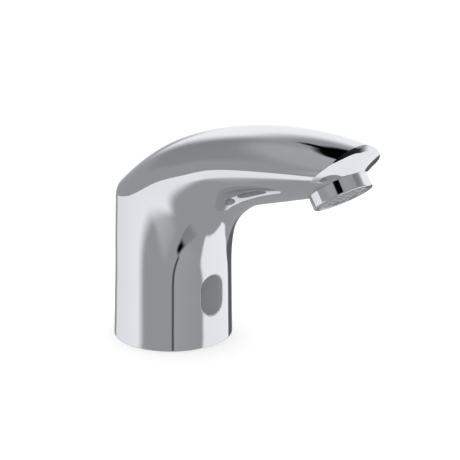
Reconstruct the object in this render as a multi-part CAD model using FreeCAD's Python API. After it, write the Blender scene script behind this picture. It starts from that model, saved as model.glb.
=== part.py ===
import FreeCAD, Part
import math
import os

V = FreeCAD.Vector
os.makedirs("parts", exist_ok=True)

# Sensor tap for one deck hole. Millimetres, +Z up, +X towards the outlet,
# the origin in the middle of the foot on the deck.

# ---- outer form of the cast body ----
FOOT_R = 28.0            # radius of the column where it stands on the deck
LEAN = 0.025             # the axis leans forward by this much per millimetre
TAPER = 0.025            # and the radius shrinks by the same amount
WALL = 2.6               # casting wall
NECK_Z = 31.7            # the front of the column is straight up to here
NECK_R = 43.0            # radius of the hollow curve under the spout
RISE = 15.5              # slope of the underside of the spout, degrees
SPOUT_RUN = 60.0         # straight underside, carried on past the outlet
EDGE_R = 4.2             # rounding where the top surface meets the sides, at the outlet
SHOULDER_R = 11.0        # growing to this round the back
FOOT_EDGE = 0.5          # rounding at the deck
ROUND = 0.5523           # handle length that turns a cubic curve into a quarter circle

# ridge line of the top surface: X, height, radius of the crown across it
CROWN = (
    (-12.0 - FOOT_R, 58.5, FOOT_R + 3.4), (1.0 - FOOT_R, 69.9, FOOT_R + 2.4),
    (16.0 - FOOT_R, 82.4, FOOT_R + 1.6), (8.0, 94.2, FOOT_R + 0.8), (32.0, 102.3, FOOT_R - 0.4), (58.0, 107.0, 26.2), (84.0, 108.6, 24.0), (104.0, 107.5, 21.4),
    (122.0, 104.9, 19.6),
)
# half width of the body seen from above
WIDTH = (
    (0.0, FOOT_R - 1.1), (35.0, FOOT_R - 2.5), (70.0, 23.3), (100.0, 20.2), (130.0, 17.2),
)
# cross sections of the lower form, one row per station along the inner curve:
# kind, place, depth of the widest point, radius at the bottom, fullness of the side
STATIONS = (
    ("column", 0.0, 0.0, 0.0, 0.0), ("column", 8.0, 0.0, 0.0, 0.0),
    ("column", 16.0, 0.0, 0.0, 0.0), ("column", 24.0, 0.0, 0.0, 0.0),
    ("column", NECK_Z, 0.0, 0.0, 0.0),
    ("bend", 12.5, 0.0, 24.5, 0.55), ("bend", 25.0, 0.0, 20.0, 0.54),
    ("bend", 37.5, 40.0, 16.5, 0.54), ("bend", 50.0, 31.0, 14.6, 0.55),
    ("bend", 62.0, 27.0, 14.4, 0.55), ("bend", 90.0 - RISE, 24.0, 15.0, 0.54),
    ("spout", 9.0, 22.0, 17.0, 0.54), ("spout", 18.0, 20.0, 22.0, 0.54),
    ("spout", 36.0, 17.0, 40.0, 0.57), ("spout", 46.0, 16.0, 44.0, 0.58),
    ("spout", SPOUT_RUN, 15.0, 48.0, 0.60),
)
LONG_REACH = 90.0        # how far a section is carried past the ridge at most

NOSE_X = 112.8           # front of the spout
NOSE_FRONT_R = 44.0      # curve of the front seen from above
NOSE_CORNER_R = 12.0     # and of its two corners
PRISM_REAR = 60.0        # from here on forwards the sides are drawn in to the nose

# ---- outlet ----
TILT = 33.0              # the water leaves this far forward of straight down
LIP_X, LIP_Z = 104.6, 83.9
RING_R = 12.5
RING_H = 6.0             # how far the aerator ring stands out
THREAD_R = 12.0          # M24 x 1 on the aerator
# closed curves round the outlet that shape the scooped underside of the bill:
# height above the lip, front, side X, half width, rear, how much higher the sides are,
# fullness at the front, fullness at the sides
SCOOP = (
    (RING_H - 0.5, 12.3, 0.0, 12.3, -12.3, 0.0, ROUND, ROUND),
    (RING_H, 12.7, 1.3, 22.0, -26.0, 4.0, 0.27, 0.58),
    (RING_H + 9.0, 20.0, 17.5, 29.1, -30.0, 0.0, 0.2, 0.05),
)
# direction of each curve at the sides: degrees outwards, and rise for every millimetre
SCOOP_WAYS = ((0.0, 0.0), (22.6, 0.35), (0.0, 0.0))
SCOOP_REAR = 10.0                # the scoop ends this far behind the outlet axis


def interpolate(table, x, column=1):
    """Value of a table column at x, straight between the rows."""
    for low, high in zip(table, table[1:]):
        if x <= high[0]:
            break
    part = (x - low[0]) / (high[0] - low[0])
    return low[column] + (high[column] - low[column]) * part


def column_radius(z):
    return FOOT_R - TAPER * z


def column_axis(z):
    return LEAN * z


def contour(kind, place):
    """Point on the inner curve in the middle plane and the direction into the body."""
    neck_x = column_axis(NECK_Z) + column_radius(NECK_Z) + NECK_R
    if kind == "column":
        x = column_axis(place) + column_radius(place)
        return V(x, 0, place), V(-1, 0, 0)
    turn = math.radians(place if kind == "bend" else 90.0 - RISE)
    inward = V(-math.cos(turn), 0, math.sin(turn))
    point = V(neck_x, 0, NECK_Z) + inward * NECK_R
    if kind == "spout":
        point = point + V(math.sin(turn), 0, math.cos(turn)) * place
    return point, inward


def quarter(start, start_way, start_len, end, end_way, end_len):
    curve = Part.BezierCurve()
    curve.setPoles([start, start + start_way * start_len, end - end_way * end_len, end])
    return curve.toShape()


def section(kind, place, depth, bottom_r, full, inset):
    """Closed oval across the body at one station, made smaller all round by inset."""
    point, inward = contour(kind, place)
    side = V(0, 1, 0)
    tilt = max(-inward.x, 0.0)
    if depth == 0.0:
        depth = (point.x - column_axis(point.z)) / tilt
        depth = (point.x - column_axis(point.z + depth * inward.z)) / tilt
        width = column_radius(point.z + depth * inward.z)
    else:
        width = interpolate(WIDTH, max(point.x + inward.x * depth, 0.0))
    rear_x = column_axis(point.z) - column_radius(point.z)
    back = min((point.x - rear_x) / tilt, LONG_REACH) - depth
    if kind == "column":
        bottom_r = width
        full = ROUND
        front = width * ROUND
    else:
        front = math.sqrt(bottom_r * depth * (1.0 - full) / 1.5)
    shrink = 1.0 - inset / width
    front = front * shrink
    start = point + inward * inset
    widest = point + inward * depth
    end = widest + inward * (back - inset)
    width = width - inset
    reach = (depth - inset) * full
    back_len = (back - inset) * ROUND
    left = widest + side * width
    right = widest - side * width
    return Part.Wire([
        quarter(start, side, front, left, inward, reach),
        quarter(left, inward, back_len, end, side * -1, width * ROUND),
        quarter(end, side * -1, width * ROUND, right, inward * -1, back_len),
        quarter(right, inward * -1, reach, start, side, front),
    ])


def lower_form(inset):
    return Part.makeLoft([section(*row, inset) for row in STATIONS], True, False)


def crown_section(x, top, radius, inset):
    """Rounded arch across the body with straight legs far below it."""
    top = top - inset
    radius = radius - inset
    half = math.radians(86.0)
    centre = top - radius
    ends = [V(x, radius * math.sin(a), centre + radius * math.cos(a)) for a in (-half, half)]
    arc = Part.Arc(ends[0], V(x, 0, top), ends[1]).toShape()
    feet = [V(x, e.y, -FOOT_R) for e in ends]
    return Part.Wire([
        arc, Part.makeLine(ends[1], feet[1]), Part.makeLine(feet[1], feet[0]),
        Part.makeLine(feet[0], ends[0]),
    ])


def crown_form(inset):
    return Part.makeLoft([crown_section(*row, inset) for row in CROWN], True, False)


def slope_frame(x, z, angle):
    """Frame with its x axis sloping up forwards by angle and its z axis into the body."""
    return FreeCAD.Placement(V(x, 0, z), FreeCAD.Rotation(V(0, 1, 0), -angle))


def outlet_frame(height):
    """Frame on the outlet axis, height above the lip of the aerator ring."""
    base = slope_frame(LIP_X, LIP_Z, TILT)
    return base.multiply(FreeCAD.Placement(V(0, 0, height), FreeCAD.Rotation()))


def placed(shape, frame):
    shape.Placement = frame.multiply(shape.Placement)
    return shape


def plan_prism():
    """Upright walls of the bill: front curve, two corners and the sides, seen from above."""
    side_x = NOSE_X - NOSE_CORNER_R
    half = interpolate(WIDTH, side_x) - 0.1
    rear_half = interpolate(WIDTH, PRISM_REAR) + 0.9
    front = Part.makeCylinder(NOSE_FRONT_R, 200, V(NOSE_X - NOSE_FRONT_R, 0, -FOOT_R))
    ahead = NOSE_X + 5
    behind = -2 * FOOT_R
    corners = [V(PRISM_REAR, -rear_half, 0), V(ahead, -half + 0.5, 0), V(ahead, half - 0.5, 0),
               V(PRISM_REAR, rear_half, 0), V(behind, -behind, 0), V(behind, behind, 0)]
    outline = Part.makePolygon(corners + corners[:1])
    prism = Part.Face(outline).extrude(V(0, 0, 200))
    prism.translate(V(0, 0, -FOOT_R))
    block = Part.makeBox(NOSE_X - NOSE_CORNER_R - 10 - behind, 200, 200, V(behind, -100, -FOOT_R))
    prism = prism.common(front.fuse(block)).removeSplitter()
    upright = [e for e in prism.Edges
               if e.BoundBox.ZLength > 150 and e.BoundBox.XMin > NOSE_X - NOSE_CORNER_R - 8]
    return prism.makeFillet(NOSE_CORNER_R, upright)


def even_curve(row, outward, rise):
    """Closed curve of four quarters about the outlet, the same on both sides."""
    height, front_x, side_x, side_y, rear_x, side_up, front_full, side_full = row
    turn = math.radians(90.0 - outward) if outward else 0.0
    back = V(-math.cos(turn), math.sin(turn), rise).normalize()
    onward = V(-back.x, back.y, -back.z)
    across = V(0, 1, 0)
    front = V(front_x, 0, 0)
    left = V(side_x, side_y, side_up)
    right = V(side_x, -side_y, side_up)
    rear = V(rear_x, 0, 0)
    front_len = side_y * front_full
    side_len = side_y * side_full
    rear_len = (side_x - rear_x) * ROUND * math.cos(turn)
    wire = Part.Wire([
        quarter(front, across, front_len, left, back, side_len),
        quarter(left, back, rear_len, rear, across * -1, side_y * ROUND),
        quarter(rear, across * -1, side_y * ROUND, right, onward, rear_len),
        quarter(right, onward, side_len, front, across, front_len),
    ])
    return placed(wire, outlet_frame(height))


def bill_scoop():
    """What is cut away round the outlet: all outside a flared collar."""
    curves = [even_curve(row, *way) for row, way in zip(SCOOP, SCOOP_WAYS)]
    collar = Part.makeLoft(curves, True, True)
    top = SCOOP[-1][0]
    block = Part.makeBox(60, 80, top + 20, V(-SCOOP_REAR, -40, -20))
    low = Part.makeCylinder(SCOOP[0][1], 30, V(0, 0, SCOOP[0][0] - 30))
    return placed(block, outlet_frame(0)).cut(collar).fuse(placed(low, outlet_frame(0)))


def edge_rows(body, inner):
    """Number and end radii of the edges where the top surface meets the sides."""
    rows = []
    small = EDGE_R - inner
    large = SHOULDER_R - inner
    for number, edge in enumerate(body.Edges, 1):
        box = edge.BoundBox
        if box.ZMin < NECK_Z or abs(edge.CenterOfMass.y) < 8 or box.XMin > NOSE_X - 8:
            continue
        if box.XMax > NOSE_X - 8:
            ends = (small, large) if edge.Vertexes[0].X > edge.Vertexes[-1].X else (large, small)
            rows.append((number, ends[0], ends[1]))
        elif box.XMin < 0:
            rows.append((number, large, large))
    return rows


def rounded_form(inset):
    """Lower form under the crown, the edge between them rounded, wider at the back."""
    doc = FreeCAD.newDocument()
    sharp = doc.addObject("Part::Feature", "sharp")
    sharp.Shape = lower_form(inset).common(crown_form(inset))
    soft = doc.addObject("Part::Fillet", "soft")
    soft.Base = sharp
    soft.Edges = edge_rows(sharp.Shape, inset)
    doc.recompute()
    shape = soft.Shape.copy()
    FreeCAD.closeDocument(doc.Name)
    return shape


# ---- helpers for the inner parts ----
def cyl(radius, low, high, x=0.0, y=0.0):
    return Part.makeCylinder(radius, high - low, V(x, y, low))


def ring(radius, hole, low, high, x=0.0, y=0.0):
    return cyl(radius, low, high, x, y).cut(cyl(hole, low, high, x, y))


def block(x0, x1, y0, y1, z0, z1):
    return Part.makeBox(x1 - x0, y1 - y0, z1 - z0, V(x0, y0, z0))


def obround(width, height, x0, x1):
    """Bar along X with round top and bottom, centred on the sensor window."""
    radius = width / 2.0
    reach = height / 2.0 - radius
    ends = [Part.makeCylinder(radius, x1 - x0, V(x0, 0, WINDOW_Z + z), V(1, 0, 0))
            for z in (-reach, reach)]
    middle = block(x0, x1, -radius, radius, WINDOW_Z - reach, WINDOW_Z + reach)
    return ends[0].fuse(ends[1]).fuse(middle).removeSplitter()


def rounded_path(points, bend):
    """Straight runs joined by tangent arcs."""
    edges = []
    last = points[0]
    for before, corner, after in zip(points, points[1:], points[2:]):
        back = (before - corner).normalize()
        ahead = (after - corner).normalize()
        half = back.getAngle(ahead) / 2.0
        reach = bend / math.tan(half)
        middle = corner + (back + ahead).normalize() * (bend / math.sin(half) - bend)
        first = corner + back * reach
        second = corner + ahead * reach
        edges += [Part.makeLine(last, first), Part.Arc(first, middle, second).toShape()]
        last = second
    return Part.Wire(edges + [Part.makeLine(last, points[-1])])


def rod(points, bend, radius):
    """Round bar along a path of straight runs and arcs."""
    path = rounded_path(points, bend)
    start = Part.Wire(Part.makeCircle(radius, points[0], points[1] - points[0]))
    return path.makePipeShell([start], True, False)


def along(radius, point, way, length):
    return Part.makeCylinder(radius, length, point, way)


def hexagon(radius, low, height, x=0.0, y=0.0, first=0):
    corners = [V(x + radius * math.cos(math.radians(a)), y + radius * math.sin(math.radians(a)), low)
               for a in range(first, first + 361, 60)]
    return Part.Face(Part.makePolygon(corners)).extrude(V(0, 0, height))


def screw(x, y, seat, length):
    """Cap screw from below: head under the seat, shank upwards, hexagon socket."""
    head = cyl(SCREW_HEAD_R, seat - SCREW_HEAD_H, seat, x, y)
    shank = cyl(SCREW_R - FIT, seat, seat + length, x, y)
    socket = hexagon(SOCKET_R, seat - SCREW_HEAD_H, SOCKET_DEEP, x, y)
    return head.fuse(shank).removeSplitter().cut(socket)


def drill(shape, holes):
    for hole in holes:
        shape = shape.cut(hole)
    return shape


def save(name, shape):
    shape.exportStep("parts/" + name + ".step")


# ---- sizes of the inner parts ----
FIT = 0.02               # play of parts that sit in each other
SLACK = 0.05             # play round seals, tubes and pins
SCREW_R = 1.5            # M3 screws throughout
SCREW_HEAD_R = 2.6
SCREW_HEAD_H = 2.0
SOCKET_R = 1.4           # hexagon socket in the screw head
SOCKET_DEEP = 1.2
GASKET_T = 1.2
PLATE_TOP = 8.8
BORE_R = FOOT_R - WALL + 0.15
BOSS_R = 3.9
BOSS_AT = (BORE_R - BOSS_R) / math.sqrt(2)
BOSS_TOP = 20.0

WINDOW_Z = 24.5
WINDOW_W, WINDOW_H = 12.6, 19.0
SEAL_T = 0.5
FLANGE = 2.0
WINDOW_BACK = FOOT_R - 6.0
FLANGE_FRONT = WINDOW_BACK + 1.6
BOARD_T = 1.6
BOARD_FRONT = WINDOW_BACK - 8.4
BOARD_BACK = BOARD_FRONT - BOARD_T
HOUSING_Y = 8.5
HOUSING_WALL = 1.2
SENSOR_FLOOR = 13.0      # the eyes' room starts here, above the screws
BOARD_LOW = PLATE_TOP + 3.2
CHIP_T = 1.2
HOUSING_TOP = 37.0
SENSOR_SCREW_X, SENSOR_SCREW_Y = WINDOW_BACK - 4.2, 5.2
EYE_OFFSET = 5.0
EYE_R = 2.5
EYE_BACK = BOARD_FRONT + HOUSING_WALL
EYE_LONG = 3.6
PIN_R = 0.3
PIN_Y = 1.27

VALVE_R = BOSS_AT - 1.0
VALVE_X = BOARD_BACK - 0.5 - VALVE_R
CHAMBER_R, CHAMBER_Z = VALVE_R - 3.9, 14.5
PISTON_BORE, BORE_Z = VALVE_R - 5.5, 17.5
SEAT_R, SEAT_TOP = 4.8, 16.8
CHANNEL_Z, CHANNEL_R = 11.9, 2.0
VALVE_TOP = 22.3
COVER_TOP = 26.0
COVER_SCREW_AT = (VALVE_R - 2.2) / math.sqrt(2)
CARRIER_SCREW_Y = CHAMBER_R + 1.9
CARRIER_HOLE_TOP = 14.0
PORT_R = 1.3             # pilot seat and the passage round it
PILOT_R = 0.5

FLOW_R = 2.8
INLET_R = 4.5            # M10 x 1 hose
INLET_X = VALVE_X + CHAMBER_R - FLOW_R + 0.4

TUBE_R, TUBE_HOLE = 3.5, 2.5
TUBE_X = 8.0 - BORE_R
TUBE_SLOPE = 10.0
TUBE_CORNER_Z = 76.8
TUBE_BEND = 20.0
TUBE_END_X = 85.0
BLOCK_X = TUBE_END_X - 7.0       # the casting is solid from here to the outlet
SOCKET_LOW, SOCKET_TOP = BORE_Z + 0.5, 27.0
STUD_X, STUD_R = TUBE_X + 6.5, 3.4       # M8 stud

O_RING_T = 0.75          # half the thickness of the O-rings
GROOVE = 2.4 * O_RING_T  # width of their grooves

CHAMBER_TOP = 14.3       # end of the aerator's thread hole above the lip
LIP_T = 0.9
RING_BORE = 11.0
THREAD_TOP = 11.6
CAGE_R = 10.9
CAGE_BORE = 10.2
GRID_T = 1.2
CELL_PITCH, CELL_R = 2.55, 1.25
MESH_T = 0.4
DIFFUSER_LOW = 9.2
DIFFUSER_T = 1.2

tube_way = V(math.cos(math.radians(TUBE_SLOPE)), 0, math.sin(math.radians(TUBE_SLOPE)))


def tube_point(x):
    """Point on the sloping run of the water tube."""
    return V(TUBE_X, 0, TUBE_CORNER_Z) + tube_way * ((x - TUBE_X) / tube_way.x)


def column_core(inset):
    """Straight part of the column made smaller all round."""
    rims = [Part.Wire(Part.makeCircle(column_radius(z) - inset, V(column_axis(z), 0, z)))
            for z in (PLATE_TOP, WINDOW_Z + WINDOW_H)]
    return Part.makeLoft(rims, True, True)


# ---- cast body ----
outer = rounded_form(0.0)
outer = outer.common(plan_prism()).cut(bill_scoop())
foot = [e for e in outer.Edges if e.BoundBox.ZMax < 0.01]
outer = outer.makeFillet(FOOT_EDGE, foot)

cavity = rounded_form(WALL)
end_frame = slope_frame(BLOCK_X, tube_point(BLOCK_X).z, TUBE_SLOPE)
solid_end = placed(block(0, 80, -50, 50, -70, 60), end_frame)
body = outer.cut(cavity.cut(solid_end)).cut(cyl(BORE_R, -1, PLATE_TOP))
boss_places = [(x, y) for x in (-BOSS_AT, BOSS_AT) for y in (-BOSS_AT, BOSS_AT)]
for x, y in boss_places:
    boss = cyl(BOSS_R, PLATE_TOP, BOSS_TOP, x, y).common(column_core(WALL / 2.0))
    body = body.fuse(boss).cut(cyl(SCREW_R, PLATE_TOP, BOSS_TOP - 3.0, x, y))
hole_w = WINDOW_W + 2 * (SEAL_T + SLACK)
hole_h = WINDOW_H + 2 * (SEAL_T + SLACK)
entry_from = BLOCK_X - 1.0
entry_long = (TUBE_END_X + 0.2 - entry_from) / tube_way.x
groove_at = tube_point(BLOCK_X + 3.0)
body = drill(body, [
    obround(hole_w, hole_h, WINDOW_BACK, FOOT_R + 5),
    placed(cyl(THREAD_R + SLACK, RING_H - 1, CHAMBER_TOP), outlet_frame(0)),
    placed(cyl(RING_R + 0.2, RING_H - 15, RING_H), outlet_frame(0)),
    along(TUBE_R + SLACK, tube_point(entry_from), tube_way, entry_long),
    along(TUBE_HOLE, tube_point(TUBE_END_X), tube_way, 10.0),
    along(TUBE_R + 2 * O_RING_T, groove_at, tube_way, GROOVE),
])
save("tap_body", body)

# ---- aerator, built upright with its lip at zero and set on the outlet axis ----
outlet = outlet_frame(0)


def dot_ring(count, at, radius, low, high):
    return [cyl(radius, low, high, at * math.cos(2 * math.pi * k / count),
                at * math.sin(2 * math.pi * k / count)) for k in range(count)]


def honeycomb(low, high, limit):
    """Hexagonal holes on a close grid inside the limit radius."""
    cells = []
    row_step = CELL_PITCH * math.sin(math.radians(60.0))
    rows = int(limit / row_step) + 1
    for row in range(-rows, rows + 1):
        y = row * row_step
        for column in range(-rows - 1, rows + 2):
            x = (column + 0.5 * (row % 2)) * CELL_PITCH
            if math.hypot(x, y) > limit - CELL_R:
                continue
            cells.append(hexagon(CELL_R, low, high - low, x, y, 30))
    return cells


ring_body = ring(RING_R, RING_BORE, 0, RING_H)
lip_edges = [e for e in ring_body.Edges if e.BoundBox.ZMax < 0.01 and e.Length > 2 * math.pi * RING_R - 1]
ring_body = ring_body.makeFillet(0.6, lip_edges)
ring_body = ring_body.fuse(ring(RING_BORE, CAGE_BORE, 0.15, LIP_T))
ring_body = ring_body.fuse(ring(THREAD_R, RING_BORE, RING_H, THREAD_TOP)).removeSplitter()
save("aerator_ring", placed(ring_body, outlet))

grid_top = LIP_T + GRID_T
grid = cyl(CAGE_R, LIP_T, grid_top).cut(Part.makeCompound(honeycomb(LIP_T, grid_top, CAGE_BORE)))
save("outlet_grid", placed(grid, outlet))

mesh_top = grid_top + 2 * MESH_T
meshes = [drill(cyl(CAGE_BORE - SLACK, low, low + MESH_T), dot_ring(12, at, 1.3, low, low + MESH_T))
          for low, at in ((grid_top, 8.0), (grid_top + MESH_T, 7.0))]
save("aerator_meshes", placed(Part.makeCompound(meshes), outlet))

cage = ring(CAGE_R, CAGE_BORE, grid_top, THREAD_TOP)
cage = cage.fuse(ring(CAGE_BORE, 9.4, DIFFUSER_LOW - 0.8, DIFFUSER_LOW))
cage = cage.fuse(ring(THREAD_R - 0.1, CAGE_BORE, THREAD_TOP, THREAD_TOP + 0.8)).removeSplitter()
save("aerator_cage", placed(cage, outlet))

plate_top = DIFFUSER_LOW + DIFFUSER_T
diffuser = cyl(CAGE_BORE - SLACK, DIFFUSER_LOW, plate_top)
diffuser = drill(diffuser, dot_ring(12, 7.5, 0.8, DIFFUSER_LOW, plate_top))
save("diffuser_plate", placed(diffuser, outlet))

flow_top = THREAD_TOP + 0.8
save("flow_regulator", placed(ring(CAGE_BORE - SLACK, 3.0, plate_top, flow_top), outlet))
save("aerator_washer", placed(ring(THREAD_R - 0.1, 8.4, flow_top, CHAMBER_TOP), outlet))

# ---- water tube ----
tube_points = [V(TUBE_X, 0, SOCKET_LOW), V(TUBE_X, 0, TUBE_CORNER_Z), tube_point(TUBE_END_X)]
save("water_tube", rod(tube_points, TUBE_BEND, TUBE_R).cut(rod(tube_points, TUBE_BEND, TUBE_HOLE)))

ring_mid = TUBE_R + O_RING_T
low_seal_z = SOCKET_TOP - 3.5
low_seal = Part.makeTorus(ring_mid, O_RING_T, V(TUBE_X, 0, low_seal_z))
top_seal = Part.makeTorus(ring_mid, O_RING_T, groove_at + tube_way * (GROOVE / 2), tube_way)
save("tube_seals", Part.makeCompound([low_seal, top_seal]))

# ---- sensor window and its housing ----
pane = obround(WINDOW_W, WINDOW_H, FLANGE_FRONT, FOOT_R + 5).common(column_core(0.3))
pane = pane.fuse(obround(WINDOW_W + 2 * FLANGE, WINDOW_H + 2 * FLANGE, WINDOW_BACK, FLANGE_FRONT))
save("sensor_window", pane.removeSplitter())

seal_in = obround(WINDOW_W + 2 * FLANGE, WINDOW_H + 2 * FLANGE, FLANGE_FRONT, FOOT_R)
seal_in = seal_in.common(column_core(WALL + FIT))
seal_out = obround(WINDOW_W + 2 * SEAL_T, WINDOW_H + 2 * SEAL_T, FLANGE_FRONT, FOOT_R + 5)
seal_out = seal_out.common(column_core(0.45))
window_hole = obround(WINDOW_W, WINDOW_H, FLANGE_FRONT - 1, FOOT_R + 5)
save("window_seal", seal_in.fuse(seal_out).cut(window_hole).removeSplitter())

housing = block(BOARD_FRONT, WINDOW_BACK, -HOUSING_Y, HOUSING_Y, PLATE_TOP, HOUSING_TOP)
inner_y = HOUSING_Y - HOUSING_WALL
eye_room = block(EYE_BACK, WINDOW_BACK + 1, -inner_y, inner_y, SENSOR_FLOOR, HOUSING_TOP - HOUSING_WALL)
housing = housing.cut(eye_room)
eye_heights = (WINDOW_Z - EYE_OFFSET, WINDOW_Z + EYE_OFFSET)
pin_places = [(y, z) for z in eye_heights for y in (-PIN_Y, PIN_Y)]
housing = drill(housing, [along(PIN_R + SLACK, V(BOARD_FRONT - 1, y, z), V(1, 0, 0), 4) for y, z in pin_places])
housing = drill(housing, [cyl(SCREW_R, PLATE_TOP, SENSOR_FLOOR + 0.5, SENSOR_SCREW_X, y)
                          for y in (-SENSOR_SCREW_Y, SENSOR_SCREW_Y)])
save("sensor_housing", housing)
for name, z in zip(("ir_emitter", "ir_receiver"), eye_heights):
    eye = along(EYE_R, V(EYE_BACK, 0, z), V(1, 0, 0), EYE_LONG)
    eye = eye.fuse(Part.makeSphere(EYE_R, V(EYE_BACK + EYE_LONG, 0, z)))
    eye = eye.fuse(along(EYE_R + 0.4, V(EYE_BACK, 0, z), V(1, 0, 0), 0.8))
    for y in (-PIN_Y, PIN_Y):
        eye = eye.fuse(along(PIN_R, V(BOARD_FRONT, y, z), V(1, 0, 0), EYE_BACK - BOARD_FRONT + 0.2))
    save(name, eye.removeSplitter())
save("circuit_board", block(BOARD_BACK, BOARD_FRONT, -8.0, 8.0, BOARD_LOW, HOUSING_TOP))
save("control_chip", block(BOARD_BACK - CHIP_T, BOARD_BACK, -4.5, 2.0, 28.0, 34.5))

# ---- base plate with the inlet and the stud hole ----
STRAINER_R = 4.0
STRAINER_LOW, STRAINER_TOP = 6.2, 6.8
base = cyl(BORE_R - 0.1, GASKET_T, PLATE_TOP)
base = drill(base, [
    cyl(INLET_R, GASKET_T, STRAINER_LOW, INLET_X),
    cyl(STRAINER_R + FIT, STRAINER_LOW, STRAINER_TOP, INLET_X),
    cyl(FLOW_R, GASKET_T, PLATE_TOP, INLET_X),
    cyl(STUD_R, GASKET_T, PLATE_TOP, STUD_X),
])
carrier_places = [(VALVE_X, CARRIER_SCREW_Y), (VALVE_X, -CARRIER_SCREW_Y),
                  (SENSOR_SCREW_X, SENSOR_SCREW_Y), (SENSOR_SCREW_X, -SENSOR_SCREW_Y)]
HEAD_SEAT = GASKET_T + 0.2 + SCREW_HEAD_H
for x, y in boss_places + carrier_places:
    base = drill(base, [cyl(SCREW_HEAD_R + 0.2, GASKET_T, HEAD_SEAT, x, y),
                        cyl(SCREW_R + 0.2, GASKET_T, PLATE_TOP, x, y)])
save("base_plate", base)
save("body_screws", Part.makeCompound([screw(x, y, HEAD_SEAT, 12.0) for x, y in boss_places]))
save("carrier_screws", Part.makeCompound([screw(x, y, HEAD_SEAT, 10.0) for x, y in carrier_places]))
foot_gasket = drill(cyl(BORE_R - 0.5, 0, GASKET_T), [
    cyl(INLET_R + 0.6, 0, GASKET_T, INLET_X), cyl(STUD_R + 1, 0, GASKET_T, STUD_X)])
save("foot_gasket", foot_gasket)

strainer = cyl(STRAINER_R, STRAINER_LOW, STRAINER_TOP, INLET_X)
strainer_holes = [cyl(0.65, STRAINER_LOW, STRAINER_TOP, INLET_X + 2.0 * math.cos(k * math.pi / 3),
                      2.0 * math.sin(k * math.pi / 3)) for k in range(6)]
save("inlet_strainer", drill(strainer, strainer_holes + [cyl(0.8, 0, PLATE_TOP, INLET_X)]))
inlet_seal_r = FLOW_R + 0.95 + O_RING_T
save("inlet_seal", Part.makeTorus(inlet_seal_r, O_RING_T, V(INLET_X, 0, PLATE_TOP + O_RING_T)))

# ---- solenoid valve ----
valve = cyl(VALVE_R, PLATE_TOP, VALVE_TOP, VALVE_X)
valve = valve.fuse(cyl(TUBE_R + 2.6, PLATE_TOP, SOCKET_TOP, TUBE_X))
valve = drill(valve, [
    ring(CHAMBER_R, SEAT_R, CHAMBER_Z, BORE_Z, VALVE_X).fuse(cyl(PISTON_BORE, BORE_Z, VALVE_TOP, VALVE_X)),
    cyl(SEAT_R, SEAT_TOP, BORE_Z, VALVE_X),
    cyl(SEAT_R - 2.0, CHANNEL_Z, SEAT_TOP, VALVE_X),
    along(CHANNEL_R, V(TUBE_X, 0, CHANNEL_Z), V(1, 0, 0), VALVE_X - TUBE_X),
    cyl(TUBE_HOLE, CHANNEL_Z, SOCKET_LOW, TUBE_X),
    cyl(TUBE_R + SLACK, SOCKET_LOW, SOCKET_TOP, TUBE_X),
    ring(ring_mid + O_RING_T, TUBE_R, low_seal_z - GROOVE / 2, low_seal_z + GROOVE / 2, TUBE_X),
    cyl(FLOW_R, PLATE_TOP, CHAMBER_Z + 0.5, INLET_X),
    cyl(inlet_seal_r + O_RING_T, PLATE_TOP, PLATE_TOP + 2 * O_RING_T, INLET_X),
    cyl(SCREW_R, PLATE_TOP, CARRIER_HOLE_TOP, VALVE_X, CARRIER_SCREW_Y),
    cyl(SCREW_R, PLATE_TOP, CARRIER_HOLE_TOP, VALVE_X, -CARRIER_SCREW_Y),
])
cover_places = [(VALVE_X + x, y) for x in (-COVER_SCREW_AT, COVER_SCREW_AT)
                for y in (-COVER_SCREW_AT, COVER_SCREW_AT)]
valve = drill(valve, [cyl(SCREW_R, BORE_Z + 0.3, VALVE_TOP, x, y) for x, y in cover_places])
save("valve_body", valve)

PAD_T = 1.2
PISTON_TOP = 21.0
SEAL_LOW, SEAL_TOP = 19.0, 20.2
PISTON_GROOVE_R = PISTON_BORE - 1.6
save("piston_pad", cyl(SEAT_R + 0.8, SEAT_TOP, SEAT_TOP + PAD_T, VALVE_X))
piston = cyl(PISTON_BORE - 0.15, SEAT_TOP + PAD_T, PISTON_TOP, VALVE_X)
piston = piston.cut(ring(PISTON_BORE, PISTON_GROOVE_R, SEAL_LOW, SEAL_TOP, VALVE_X))
piston = piston.cut(cyl(3.0, PISTON_TOP - 1.0, PISTON_TOP, VALVE_X))
save("valve_piston", piston)
save("piston_seal", ring(PISTON_BORE - 0.03, PISTON_GROOVE_R, SEAL_LOW, SEAL_TOP, VALVE_X))

CORE_FLOOR = 24.6
NOZZLE_TOP = 25.3
CORE_BORE = 0.28 * VALVE_R
CORE_R = CORE_BORE + 0.6
CORE_SEAL_MID = CORE_BORE + 1.35
cover = cyl(VALVE_R, VALVE_TOP, COVER_TOP, VALVE_X)
tower_room = cyl(TUBE_R + 3.0, VALVE_TOP, COVER_TOP + 5, TUBE_X)
cover = drill(cover, [
    ring(CORE_SEAL_MID + O_RING_T, PORT_R, CORE_FLOOR, COVER_TOP, VALVE_X),
    cyl(PORT_R, NOZZLE_TOP, COVER_TOP, VALVE_X), cyl(PILOT_R, VALVE_TOP, COVER_TOP, VALVE_X), tower_room,
])
cover = drill(cover, [cyl(SCREW_R + 0.2, VALVE_TOP, COVER_TOP, x, y) for x, y in cover_places])
save("valve_cover", cover)
save("core_seal", Part.makeTorus(CORE_SEAL_MID, 0.7, V(VALVE_X, 0, CORE_FLOOR + 0.7)))

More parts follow.
